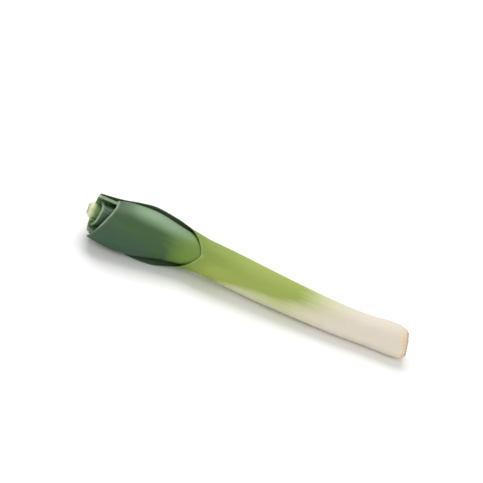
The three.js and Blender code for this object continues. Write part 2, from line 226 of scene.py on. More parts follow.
class LeekColours(bpy.types.PropertyGroup):
    """Colours of the leek from root to leaf tip"""

    white: colour("White", "Shank next to the roots", (218, 209, 194))
    cream: colour("Cream", "Shank where the green begins", (212, 207, 180))
    pale: colour("Pale", "First green above the white", (194, 197, 150))
    lime: colour("Lime", "Yellow-green of the upper shank", (152, 168, 82))
    sheath: colour("Sheath", "Green of the sheath below its mouth", (132, 152, 70))
    fresh: colour("Fresh", "Bright green low on a blade", (106, 136, 54))
    leaf: colour("Leaf", "Deep green of an open blade", (56, 88, 48))
    bloom: colour("Bloom", "Grey blue-green of a blade's waxy outer part", (54, 84, 64))
    lining: colour("Lining", "Grey-green inner face of an outer blade", (88, 108, 84))
    # Pale wax colour: wax all over a waxy leaf, and a painted highlight on the side of a blade that faces
    # up
    wax_and_highlight: colour("Wax", "Pale film on the side of a blade that faces up", (124, 152, 118))
    inner: colour("Inner", "Green of the leaves inside", (84, 118, 66))
    young: colour("Young", "Fresh green of the youngest leaves", (132, 160, 96))
    heart: colour("Heart", "Pale yellow of the heart", (226, 228, 184))
    flesh: colour("Flesh", "Cut edges of the leaves", (150, 172, 130))
    rim: colour("Rim", "Thin skin at the mouth of a sheath", (200, 206, 168))
    flank: colour("Flank", "Rounded edge of the root plate, where the leaf bases end", (226, 208, 180))
    plate: colour("Plate", "Cut face of the root plate", (210, 176, 142))
    stub: colour("Stub", "Trimmed root stubs", (188, 142, 106))
    bark: colour("Bark", "Torn ends and strands of the root plate", (122, 84, 58))


class LeekStage(bpy.types.PropertyGroup):
    """Camera, lights and floor"""

    distance: number("Distance", "Camera to leek", 1.6, unit="LENGTH")
    elevation: number("Elevation", "Camera above the floor", math.radians(30), subtype="ANGLE")
    roll: number(
        "Roll", "Turn of the camera about its own line of sight", math.radians(22), subtype="ANGLE")
    frame_width: number("Frame width", "Width that the picture takes in at the leek", 0.483, unit="LENGTH")
    key_power: number("Key light", "Soft light above and behind", 15.5, unit="POWER")
    fill_power: number("Fill light", "Soft light from the camera's side", 9.3, unit="POWER")
    sky: number("Sky", "Brightness of the white surroundings", 0.5)
    floor_tint: colour("Floor", "Pale floor", (250, 250, 248))


# Curves and the leek's own frame


def through(keys, place):
    """A smooth curve through (place, value) keys: cubic pieces whose slope at a key is that of the line
    between its neighbours."""
    at, value = np.array(keys, float).T
    if len(at) == 1:
        return np.full_like(place, value[0])
    last = len(at) - 1
    before = np.maximum(np.arange(len(at)) - 1, 0)
    after = np.minimum(np.arange(len(at)) + 1, last)
    slope = (value[after] - value[before]) / (at[after] - at[before])
    place = np.clip(place, at[0], at[-1])
    i = np.clip(np.searchsorted(at, place, side="right") - 1, 0, last - 1)
    width = at[i + 1] - at[i]
    s = (place - at[i]) / width
    rise = value[i + 1] - value[i]
    bump = s * (1 - s) * ((1 - s) * (slope[i] * width - rise) - s * (slope[i + 1] * width - rise))
    return value[i] + rise * s + bump


def fade(start, end, place):
    """0 before start, 1 after end, and a smooth step between them."""
    s = np.clip((place - start) / (end - start), 0, 1)
    return s * s * (3 - 2 * s)


def unit(vectors):
    """Each vector divided by its own length."""
    return vectors / np.linalg.norm(vectors, axis=-1, keepdims=True)


def centre(t):
    """The leek's centre line at t millimetres from the root face."""
    return np.stack([-t, through(CENTRE_SWAY, t), through(CENTRE_HEIGHT, t)], -1)


def on_leek(t, k, m):
    """Lays points of a straight leek on the bent one: along the centre line by t, then k towards the
    second leaf's keel and m at right angles to it. At the root end t is sheared by ROOT_SLANT times m."""
    tilt = bpy.context.scene.leek_form.keel_tilt
    slanted = t + ROOT_SLANT * m * (1 - fade(*SLANT_FADE, t))
    along = unit(centre(slanted + 1) - centre(slanted - 1))
    keel = np.array([0, -math.cos(tilt), math.sin(tilt)])
    k_axis = unit(keel - (along @ keel)[..., None] * along)
    m_axis = np.cross(along, k_axis)
    return centre(slanted) + k[..., None] * k_axis + m[..., None] * m_axis


# Leaf surfaces


def sheath_inset(node):
    """How far the sheath of a leaf lies inside the outermost surface."""
    names = list(LEAVES)
    return sum(LEAVES[name]["sheath"] + SHEATH_GAP for name in names[: names.index(node)])


def half_angle(leaf, t):
    """Half the angle that the leaf spans at t: 180 up to its mouth, then down to the blade's half angle
    by the share of the notch that is passed, to the power of NOTCH_ROUNDING."""
    opened = np.clip((t - leaf["mouth"]) / leaf["notch"], 0, 1) ** NOTCH_ROUNDING
    return 180 - (180 - through(leaf["half_angle"], t)) * opened


def outer_radius(node, t, from_keel):
    """Polar radius of a superellipse with the leaf's half width and half depth, round in the sheath and
    drawn out to a keel in the blade."""
    leaf = LEAVES[node]
    shank = bpy.context.scene.leek_form.shank_radius / MM
    sheath = shank + through(SHEATH_SWELL, t) - sheath_inset(node)
    top = shank + float(through(SHEATH_SWELL, np.array(SHEATH_TOP))) - sheath_inset(node)
    wide, deep = (
        np.where(t <= SHEATH_TOP, sheath, through(((SHEATH_TOP, top), *leaf[key]), t))
        for key in ("wide", "deep"))
    power = 2 - (2 - BLADE_POWER) * fade(leaf["mouth"], leaf["mouth"] + 2 * leaf["notch"], t)
    a = np.radians(from_keel)
    return (np.abs(np.cos(a) / deep) ** power + np.abs(np.sin(a) / wide) ** power) ** (-1 / power)


def thickness(leaf, t, share):
    """Leaf thickness at a share of the half width: even in the sheath, and in the blade from the keel's
    to the margin's by that share to the power of 1.5."""
    blade = KEEL_THICKNESS + (MARGIN_THICKNESS - KEEL_THICKNESS) * share**1.5
    start, end = THINNING
    return leaf["sheath"] + (blade - leaf["sheath"]) * fade(leaf["mouth"] + start, leaf["mouth"] + end, t)


def rib(across):
    """Height of the parallel veins, from 0 in a furrow to 1 on a vein: a cosine over the leaf's width."""
    return 0.5 + 0.5 * np.cos(math.pi * bpy.context.scene.leek_form.veins * across)


def relief(node, t, across, angle):
    """What stands out of the plain section: long waves shared by all sheaths, as a sum of sines, veins,
    and the midrib's ridge, a bell curve over the keel."""
    form = bpy.context.scene.leek_form
    leaf = LEAVES[node]
    blade = fade(leaf["mouth"] - BLADE_START, leaf["mouth"] + leaf["notch"], t)
    a = np.radians(angle)
    waves = sum(share * np.sin(count * a + t / length + phase) for count, length, phase, share in WAVES)
    ridge = np.exp(-((across / RIDGE_WIDTH) ** 2)) * blade
    strength = SHEATH_VEINS + (1 - SHEATH_VEINS) * blade
    veins = (rib(across) - 0.5) * strength * fade(leaf["base"], leaf["base"] + VEIN_START, t)
    return (form.ripple * waves + form.vein_height * veins + form.keel_rise * ridge) / MM


def leaf_points(node, rows, across, depth):
    """Points of a leaf on the bent leek, with their t, k and m: the section's polar radius, turned by the
    leaf's keel and twist, then moved by its shift. depth is 0 on the outer face and 1 on the inner one.
    What would reach below the floor is pressed flat on it, as thick as the leaf's margin."""
    leaf = LEAVES[node]
    from_keel = across * half_angle(leaf, rows)
    angle = leaf["keel"] + from_keel + through(leaf["twist"], rows)
    raised = relief(node, rows, across, angle) * (1 - (1 - INNER_RELIEF) * depth)
    wall = thickness(leaf, rows, np.abs(across)) * depth
    radius = outer_radius(node, rows, from_keel) + raised - wall
    k = radius * np.cos(np.radians(angle))
    m = radius * np.sin(np.radians(angle)) + through(leaf["shift"], rows)
    end, lean_k, lean_m = leaf["cut"]
    a = np.radians(angle[-1:])
    waves = sum(height * np.sin(count * a + turn * leaf["mouth"]) for count, height, turn in CUT_WAVES)
    cut_here = end + lean_k * k[-1:] + lean_m * m[-1:] + CUT_BEVEL * (depth - 0.5) + waves
    stretched = CUT_FADE + (rows - CUT_FADE) * (cut_here - CUT_FADE) / (LENGTH - CUT_FADE)
    t = np.where(rows <= CUT_FADE, rows, stretched)
    points = on_leek(t, k, m)
    points[..., 2] = np.maximum(points[..., 2], MARGIN_THICKNESS * depth)
    return points, t, k, m


def leaf_rows(leaf):
    """Where along the leek the rows of vertices go: even runs, and over the notch closer ones whose
    half angles are evenly spaced."""
    parts = [np.array([leaf["base"]])]
    for start, end, step in leaf["rows"]:
        if start > leaf["mouth"]:
            shares = (np.arange(1, NOTCH_ROWS + 1) / NOTCH_ROWS) ** (1 / NOTCH_ROUNDING)
            parts.append(leaf["mouth"] + leaf["notch"] * shares)
        count = max(1, round((end - start) / step))
        parts.append(np.linspace(start, end, count + 1)[1:])
    return np.concatenate(parts)


def leek_place():
    """The way from the formulas' frame to the solids' frame: between the middles of the outer leaf's
    box, found both ways."""
    low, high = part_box("leaf_1_outer")
    spread = np.linspace(-1, 1, BOX_COLUMNS)
    rows, across = np.meshgrid(leaf_rows(LEAVES["leaf_1_outer"]), spread, indexing="ij")
    points = leaf_points("leaf_1_outer", rows, across, 0.0)[0].reshape(-1, 3) * MM
    middle = (points.min(0) + points.max(0)) / 2
    return np.array([(low.x + high.x) / 2 - middle[0], (low.y + high.y) / 2 - middle[1], 0.0])


# Meshes


def fan(hub, ring):
    """Triangles from a hub to each step of a ring."""
    return np.stack([np.full(len(ring) - 1, hub), ring[:-1], ring[1:]], -1)


def quads(a, b, c, d):
    """Quads from four equal arrays of vertex numbers."""
    return np.stack([a, b, c, d], -1).reshape(-1, 4)


def strip(lower, upper):
    """Quads between two rows of vertices, or between all neighbouring rows of two grids."""
    return quads(lower[..., :-1], lower[..., 1:], upper[..., 1:], upper[..., :-1])


SHARP_EDGE = math.radians(50)


def make_piece(name, points, faces, point_values, face_values):
    """A mesh object in metres with its values as attributes. Vertices that no face uses are left out, and
    edges sharper than SHARP_EDGE are shaded as sharp."""
    used, packed = np.unique(np.concatenate([f.ravel() for f in faces]), return_inverse=True)
    mesh = bpy.data.meshes.new(name)
    sizes = np.concatenate([np.full(len(f), f.shape[1]) for f in faces])
    mesh.vertices.add(len(used))
    mesh.vertices.foreach_set("co", points[used].astype(np.float32).ravel())
    mesh.loops.add(len(packed))
    mesh.loops.foreach_set("vertex_index", packed.astype(np.int32))
    mesh.polygons.add(len(sizes))
    mesh.polygons.foreach_set("loop_start", (np.cumsum(sizes) - sizes).astype(np.int32))
    mesh.polygons.foreach_set("loop_total", sizes.astype(np.int32))
    mesh.update(calc_edges=True)
    for label, values in point_values.items():
        kind, field = ("FLOAT_VECTOR", "vector") if values.ndim == 2 else ("FLOAT", "value")
        kept = values[used].astype(np.float32).ravel()
        mesh.attributes.new(label, kind, "POINT").data.foreach_set(field, kept)
    for label, values in face_values.items():
        mesh.attributes.new(label, "FLOAT", "FACE").data.foreach_set("value", values.astype(np.float32))
    mesh.validate()
    mesh.polygons.foreach_set("use_smooth", np.ones(len(mesh.polygons), bool))
    mesh.set_sharp_from_angle(angle=SHARP_EDGE)
    piece = bpy.data.objects.new(name, mesh)
    bpy.context.scene.collection.objects.link(piece)
    return piece


def leaf_layers(node, t_rows, spread):
    """A leaf's vertices, layer after layer: outer face, inner face, both margins and the middle of the
    cut. With them comes what is known of each: its row, its place across the leaf, depth, t, k and m."""
    leaf = LEAVES[node]
    rows, across = np.meshgrid(t_rows, spread, indexing="ij")
    edge_rows, edge_across = np.meshgrid(t_rows, np.array([-1.0, 1.0]), indexing="ij")
    rounding = 1 + MARGIN_ROUNDING * fade(leaf["mouth"], leaf["mouth"] + MARGIN_START, edge_rows)
    layers = (
        (rows, across, 0.0, 1.0),
        (rows, across, 1.0, 1.0),
        (edge_rows, edge_across, 0.5, rounding),
        (rows[-1:], across[-1:], 0.5, 1.0),
    )
    found = [leaf_points(node, row, side * reach, depth) for row, side, depth, reach in layers]
    found[-1][0][..., 0] += CUT_SUNK
    known = [
        (row, side, np.full_like(row, depth), t, k, m)
        for (row, side, depth, _), (_, t, k, m) in zip(layers, found)
    ]
    points = np.concatenate([layer[0].reshape(-1, 3) for layer in found])
    return points, [np.concatenate([part.ravel() for part in parts]) for parts in zip(*known)]


def leaf_faces(leaf, t_rows, columns, pit):
    """Faces of a closed shell on those layers: an outer and an inner face, joined by a rounded margin
    where the leaf is open, by a ring at its base and by the cut at its end. Where it is closed, the last
    column is the first one. A leaf with a pit has an inner face only down to the pit's row, and fans
    round two vertices after the layers close it. Returns the faces and which lists are cuts."""
    shape = (len(t_rows), columns + 1)
    size = shape[0] * shape[1]
    on_outer = np.arange(size).reshape(shape)
    on_inner = on_outer + size
    on_edge = 2 * size + np.arange(2 * shape[0]).reshape(-1, 2)
    on_cut = 2 * size + on_edge.size + np.arange(shape[1])
    bottom, floor = on_cut[-1] + 1, on_cut[-1] + 2
    on_cut[[0, -1]] = on_edge[-1]
    closed = t_rows <= leaf["mouth"]
    on_outer[closed, -1] = on_outer[closed, 0]
    on_inner[closed, -1] = on_inner[closed, 0]

    skins = [strip(on_outer[:-1], on_outer[1:]), strip(on_inner[pit:-1, ::-1], on_inner[pit + 1:, ::-1])]
    first = int(np.argmax(~closed))
    left_o, left_e, left_i = on_outer[first:, 0], on_edge[first:, 0], on_inner[first:, 0]
    right_o, right_e, right_i = on_outer[first:, -1], on_edge[first:, 1], on_inner[first:, -1]
    nose_o, nose_i = on_outer[first - 1, 0], on_inner[first - 1, 0]
    pairs = ((right_o, right_e), (right_e, right_i), (left_i, left_e), (left_e, left_o))
    margins = [quads(a[:-1], b[:-1], b[1:], a[1:]) for a, b in pairs]
    nose = np.array([
        (nose_o, nose_i, right_e[0]), (nose_i, right_i[0], right_e[0]), (nose_o, right_e[0], right_o[0]),
        (nose_i, nose_o, left_e[0]), (nose_i, left_e[0], left_i[0]), (nose_o, left_o[0], left_e[0]),
    ])
    cuts = [strip(on_outer[-1], on_cut), strip(on_cut, on_inner[-1])]
    if pit:
        base = [fan(bottom, on_outer[0, ::-1]), fan(floor, on_inner[pit])]
    else:
        base = [quads(on_outer[0, :-1], on_inner[0, :-1], on_inner[0, 1:], on_outer[0, 1:])]
    plain = [*skins, *margins, nose]
    is_cut = [*(0.0 for _ in plain), *(1.0 for _ in cuts), *(0.0 for _ in base)]
    return [*plain, *cuts, *base], is_cut


def leaf_values(leaf, known):
    """What the materials read at each vertex. along is the colour scale's place, upward its slide round
    the leek, wax_and_highlight the share of the pale wax colour, a painted highlight on the side that
    looks up and wax all over a waxy leaf, grain a seamless place for the streaks, rim the pale skin at
    the mouth and the cut, and hollow the inner face. Rims fall off exponentially with distance, and the
    others are products of fades."""
    rows, across, depth, t, k, m = known
    turn = across * math.pi
    away = np.hypot(k, m)
    side = m / (away + 1e-6)
    arc = away * np.radians(half_angle(leaf, rows)) * (1 - np.abs(across))
    to_rim = np.hypot(arc, np.maximum(leaf["mouth"] - rows, 0))
    past_mouth = np.maximum(rows - leaf["mouth"], 0)
    mouth_rim = np.exp(-to_rim / RIM_WIDTH - past_mouth / RIM_REACH)
    pale_cut = leaf.get("pale_cut", 1.0) * (LOW_CUT_PALENESS + (1 - LOW_CUT_PALENESS) * fade(*CUT_PALENESS_RISE, m))
    cut_rim = CUT_RIM_STRENGTH * pale_cut * np.exp(-(LENGTH - rows) / CUT_RIM_WIDTH)
    # Painted highlight on the side that looks up, drawn back towards the upper edge further up the leek
    highlight_and_wax = fade(*HIGHLIGHT_SIDES, side - (rows - HIGHLIGHT_MIDDLE) * HIGHLIGHT_DRAW)
    highlight_and_wax = highlight_and_wax * fade(*HIGHLIGHT_START, rows) * fade(leaf.get("highlight_end", HIGHLIGHT_END), HIGHLIGHT_FADE, rows)
    lit = LIT_SLIDE * fade(*LIT_END, rows)
    shaded = SHADED_SLIDE * (1 + SHADED_SWELL * fade(*SHADED_SWELL_RUN, rows)) * fade(*SHADED_END, rows)
    cool = leaf.get("cool", 0) * fade(*COOL_SIDES, -side) * fade(*COOL_START, rows)
    return {
        "along": (t + leaf.get("tone", 0) + cool) / TONE_LENGTH,
        "upward": side * np.where(side > 0, lit, shaded) * fade(*SLIDE_START, rows),
        "wax_and_highlight": np.maximum(highlight_and_wax, leaf.get("waxy", 0)),
        "grain": np.stack([np.cos(turn), np.sin(turn), t / GRAIN_LENGTH], -1),
        "rib": rib(across),
        "rim": np.maximum(mouth_rim, cut_rim),
        "hollow": depth,
        "pale_cut": pale_cut,
    }


def leaf_piece(node, material):
    """One leaf as a closed shell in the place of its solid, with its values. A pit adds two vertices, in
    the middle of the base and of the pit's floor, whose values are 0."""
    leaf = LEAVES[node]
    t_rows = leaf_rows(leaf)
    spread = np.linspace(-1, 1, leaf["columns"] + 1)
    pit = int(np.argmax(t_rows >= leaf["pit"])) if "pit" in leaf else 0
    points, known = leaf_layers(node, t_rows, spread)
    faces, is_cut = leaf_faces(leaf, t_rows, leaf["columns"], pit)
    values = leaf_values(leaf, known)
    if pit:
        hubs = on_leek(np.array([leaf["base"], t_rows[pit]]), np.zeros(2), np.zeros(2))
        points = np.concatenate([points, hubs])
        for label, found in values.items():
            values[label] = np.concatenate([found, np.zeros((2, *found.shape[1:]))])
    cut = np.concatenate([np.full(len(listed), flag) for listed, flag in zip(faces, is_cut)])
    piece = make_piece(node, points * MM + leek_place(), faces, values, {"cut": cut})
    piece.data.materials.append(material)
    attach(piece, "root")
    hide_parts(node)
    return piece


# Root plate

# From the middle of the plate's cut face round the flank to the tip inside the heart: (t, radius)
PLATE_PROFILE = (
    (0.7, 0.0), (0.4, 2.2), (0.55, 4.4), (0.3, 6.6), (0.35, 8.8), (0.1, 10.6), (0.25, 12.0), (0.9, 13.3),
    (2.0, 14.3), (3.4, 14.9), (4.6, 15.1), (4.9, 14.6), (5.0, 13.4), (8.3, 6.7), (12.2, 0.0),
)
PLATE_SIDES = 200
PLATE_STEPS = 5  # rows from one point of the profile to the next
FACE_RADIUS = (12.8, 10.8)  # where the waves of the cut face begin, going inwards
FACE_DEPTH = (3, 2)  # and where, going towards the cut face
FACE_MIDDLE = 2.5  # inside this radius they sink away again
# Waves of the cut face, as (height, number round the axis, waves per millimetre outwards over 2 pi)
STRANDS = ((0.06, 17, 3), (0.05, 29, -5))
RING_HEIGHT = 0.10
RING_WAVES = 2.4  # rings per millimetre outwards, over 2 pi
RING_WOBBLE = (0.8, 3)  # how far the rings stray, and how often on a turn
# How old and dry the plate is, from 0 to 1: a share of age, and where that fades in
FLANK_AGE = (0.4, (4.6, 0.4))
FACE_AGE = (0.2, (12.5, 4.0))

STUB_RINGS = (
    {"t": 0.9, "radius": 12.0, "count": 26, "lean": 18, "length": 0.8},
    {"t": 1.7, "radius": 13.2, "count": 30, "lean": 38, "length": 0.45},
    {"t": 2.9, "radius": 14.1, "count": 26, "lean": 60, "length": 0.25},
)
# Limits of a ring's stubs: part of a step round it, radius, share of its length, degrees from its lean
RING_LIMITS = ((0, 0.8), (0.35, 0.7), (0.4, 1.6), (-10, 10))
FACE_STUBS = 54
FACE_STUB_T = 0.4
FACE_STUB_RADIUS = 10.8  # the spiral of stubs on the cut face ends here
FACE_FIRST = 2.5  # steps that the spiral leaves out in the middle
# The same limits on the cut face, with the turn in radians and the length in millimetres
FACE_LIMITS = ((0, 0.3), (0.45, 0.85), (0.3, 0.8), (0, 10))
GOLDEN_ANGLE = math.pi * (3 - math.sqrt(5))
STUB_SIDES = 10
STUB_SUNK = 1.2  # how deep a stub's root sits in the plate
STUB_SEED = 2957
# Share of a stub's length and of its width, from its root to the hollow in its torn end, and its age
STUB_HEIGHTS = (0, 0.35, 0.7, 0.95, 1.0, 0.8)
STUB_WIDTHS = (1.1, 1.0, 0.95, 0.9, 0.74, 0.4)
STUB_AGES = (0.55, 0.55, 0.7, 0.7, 0.7, 1.0)
STUB_TORN = (0, 0, 0.16, 0.16, 0.16, 0.16)  # unevenness of its height
STUB_OVAL = 0.12  # unevenness of its width


def placed(t, k, m):
    """Points on the bent leek and none below the floor, in metres and in the solids' frame."""
    points = on_leek(t, k, m)
    points[..., 2] = np.maximum(points[..., 2], 0)
    return points * MM + leek_place()


def plate_body():
    """The plate's profile, smoothed and turned round the axis. Low waves in the cut face, sums of sines
    of the radius and the turn, stand for the rings of leaf bases and the torn strands between them."""
    at = np.arange(len(PLATE_PROFILE))
    fine = np.linspace(0, at[-1], at[-1] * PLATE_STEPS + 1)
    t, radius = (through(np.stack([at, values], -1), fine) for values in np.array(PLATE_PROFILE).T)
    turn = np.linspace(0, 2 * math.pi, PLATE_SIDES + 1)
    grid_t, grid_turn = np.meshgrid(t, turn, indexing="ij")
    grid_r = np.meshgrid(radius, turn, indexing="ij")[0]
    on_face = fade(*FACE_RADIUS, grid_r) * fade(*FACE_DEPTH, grid_t)
    wobble = RING_WOBBLE[0] * np.sin(RING_WOBBLE[1] * grid_turn)
    rings = RING_HEIGHT * np.sin(RING_WAVES * grid_r + wobble)
    strands = sum(height * np.sin(count * grid_turn + run * grid_r) for height, count, run in STRANDS)
    grid_t = grid_t + on_face * (rings + strands) * fade(0, FACE_MIDDLE, grid_r)
    points = placed(grid_t, grid_r * np.cos(grid_turn), grid_r * np.sin(grid_turn))
    index = np.arange(grid_t.size).reshape(grid_t.shape)
    index[:, -1] = index[:, 0]
    index[0], index[-1] = index[0, 0], index[-1, 0]
    body = strip(index[1:-2], index[2:-1])[:, ::-1]
    fans = [fan(index[0, 0], index[1, ::-1]), fan(index[-1, 0], index[-2])]
    flank_age = FLANK_AGE[0] * fade(*FLANK_AGE[1], grid_t)
    face_age = FACE_AGE[0] * fade(*FACE_AGE[1], grid_r) * fade(*FACE_DEPTH, grid_t)
    return points.reshape(-1, 3), [body, *fans], (flank_age + face_age).ravel()


def stub_layout():
    """t, radius, turn, lean, width and length of every root stub: rings on the rounded edge, and on the
    cut face a sunflower spiral, each a golden angle on and at the square root of its number."""
    draw = np.random.default_rng(STUB_SEED)
    rows = []
    for ring in STUB_RINGS:
        count = ring["count"]
        step, width, length, lean = (draw.uniform(*limits, count) for limits in RING_LIMITS)
        turn = (np.arange(count) + step) * 2 * math.pi / count
        t, radius = np.full(count, ring["t"]), np.full(count, ring["radius"])
        lean = np.radians(ring["lean"] + lean)
        rows.append(np.stack([t, radius, turn, lean, width, ring["length"] * length], -1))
    n = np.arange(FACE_STUBS)
    radius = FACE_STUB_RADIUS * np.sqrt((n + FACE_FIRST) / (FACE_STUBS + 1))
    step, width, length, lean = (draw.uniform(*limits, FACE_STUBS) for limits in FACE_LIMITS)
    t, turn = np.full(FACE_STUBS, FACE_STUB_T), n * GOLDEN_ANGLE + step
    rows.append(np.stack([t, radius, turn, np.radians(lean), width, length], -1))
    return np.concatenate(rows)


def stub_pieces(first_index):
    """Every stub as a short tapered tube with a torn, hollow end: circles of the stub's width times its
    share, along a line that leans outwards from the axis. Small sines make width and end uneven."""
    t, radius, turn, lean, width, length = stub_layout().T[:, :, None, None]
    heights, widths, ages, torn = (
        np.array(shares)[None, :, None] for shares in (STUB_HEIGHTS, STUB_WIDTHS, STUB_AGES, STUB_TORN))
    around = (np.arange(STUB_SIDES + 1) % STUB_SIDES * 2 * math.pi / STUB_SIDES)[None, None, :]
    ragged = 1 + torn * np.sin(3 * around + turn * 7)
    height = -STUB_SUNK + heights * (length + STUB_SUNK) * ragged
    wide = widths * width * (1 + STUB_OVAL * np.sin(2 * around + turn * 11))
    aside = wide * np.cos(around)
    out = radius + aside * np.cos(lean) + height * np.sin(lean)
    along = t - height * np.cos(lean) + aside * np.sin(lean)
    side = wide * np.sin(around)
    k = out * np.cos(turn) - side * np.sin(turn)
    m = out * np.sin(turn) + side * np.cos(turn)
    points = placed(along, k, m)
    index = first_index + np.arange(k.size).reshape(k.shape)
    index[:, :, -1] = index[:, :, 0]
    sides = strip(index[:, :-1], index[:, 1:])
    ends = [index[:, -1, :-1], index[:, 0, :-1][:, ::-1]]
    return points.reshape(-1, 3), [sides, *ends], np.broadcast_to(ages, k.shape).ravel()


# Node helpers


def new_material(name):
    """A material with its node tree and its shader."""
    material = bpy.data.materials.new(name)
    material.use_nodes = True
    return material, material.node_tree, material.node_tree.nodes["Principled BSDF"]


def add_node(tree, kind, inputs=None, **settings):
    """A new node with its settings and inputs. An input is a value or another node's output socket."""
    made = tree.nodes.new(kind)
    for key, value in settings.items():
        setattr(made, key, value)
    for key, value in (inputs or {}).items():
        if isinstance(value, bpy.types.NodeSocket):
            tree.links.new(value, made.inputs[key])
        else:
            made.inputs[key].default_value = value
    return made


def attribute(tree, name, output="Fac"):
    """One of the values that the mesh carries."""
    return add_node(tree, "ShaderNodeAttribute", attribute_name=name).outputs[output]


def calculate(tree, operation, a, b=0.0, c=0.0, clamp=False):
    """A sum or product of values and sockets."""
    inputs = {0: a, 1: b, 2: c}
    return add_node(tree, "ShaderNodeMath", inputs, operation=operation, use_clamp=clamp).outputs[0]


def uneven(tree, pattern, amount, value):
    """value, made higher and lower by amount times a pattern whose middle is 0.5."""
    return calculate(tree, "MULTIPLY_ADD", calculate(tree, "SUBTRACT", pattern, 0.5), amount, value)


def mix(tree, share, a, b, blend="MIX"):
    """Colour a, with a share of colour b over it."""
    a, b = (c if isinstance(c, bpy.types.NodeSocket) else (*c, 1) for c in (a, b))
    inputs = {"Factor": share, 6: a, 7: b}
    return add_node(tree, "ShaderNodeMix", inputs, data_type="RGBA", blend_type=blend).outputs[2]


def noise(tree, vector, scale, stretch=(1, 1, 1), detail=3.0):
    """A noise pattern, finer by scale and by stretch along each axis."""
    mapped = add_node(tree, "ShaderNodeMapping", {"Vector": vector, "Scale": stretch}).outputs[0]
    inputs = {"Vector": mapped, "Scale": scale, "Detail": detail, "Roughness": 0.55}
    return add_node(tree, "ShaderNodeTexNoise", inputs).outputs[0]


def ramp(tree, factor, stops, length=1.0):
    """A colour ramp through (place, colour) stops, with places measured on a scale of that length."""
    made = add_node(tree, "ShaderNodeValToRGB", {"Fac": factor})
    elements = made.color_ramp.elements
    while len(elements) < len(stops):
        elements.new(1.0)
    for element, (place, tint) in zip(elements, stops):
        element.position = place / length
        element.color = (*tint, 1)
    return made.outputs[0]


def add_bump(tree, shader, height, strength, distance):
    """Lets the light see a fine relief, in metres."""
    inputs = {"Height": height, "Strength": strength, "Distance": distance}
    bump = add_node(tree, "ShaderNodeBump", inputs)
    tree.links.new(bump.outputs[0], shader.inputs["Normal"])


# Stretch of the noise on a leaf, round it by cosine and sine, and along it
FIBRES = (70, 70, 9)
STREAKS = (16, 16, 1.3)
BLOTCHES = (1.6, 1.6, 2.6)
BLOTCH_SHARE = 0.6  # of what streaks do to the colour scale, how much blotches do
FIBRE_SHADE = 0.2  # how far fibres lighten and darken the skin
HIGHLIGHT_AND_WAX_STREAKS = 0.6  # how much stronger the wax and the painted highlight are on a streak
VEIN_TINT = 0.05  # share of the rim's colour on a vein
RIM_TINT = 0.8  # and at a rim
PORE_TINT = 0.5  # share of the skin's colour in the pores of the cut flesh
PORES = 1400.0  # noise scale of those pores


def leaf_tone(tree, streak, blotch, tilt_up, streaks):
    """The place on the colour scale: along the leek, slid round it by tilt_up and moved by the noises."""
    along = attribute(tree, "along")
    tilt = tilt_up / TONE_LENGTH
    turned = calculate(tree, "MULTIPLY_ADD", attribute(tree, "upward"), tilt, along)
    streaked = uneven(tree, streak, streaks / TONE_LENGTH, turned)
    return uneven(tree, blotch, BLOTCH_SHARE * streaks / TONE_LENGTH, streaked)


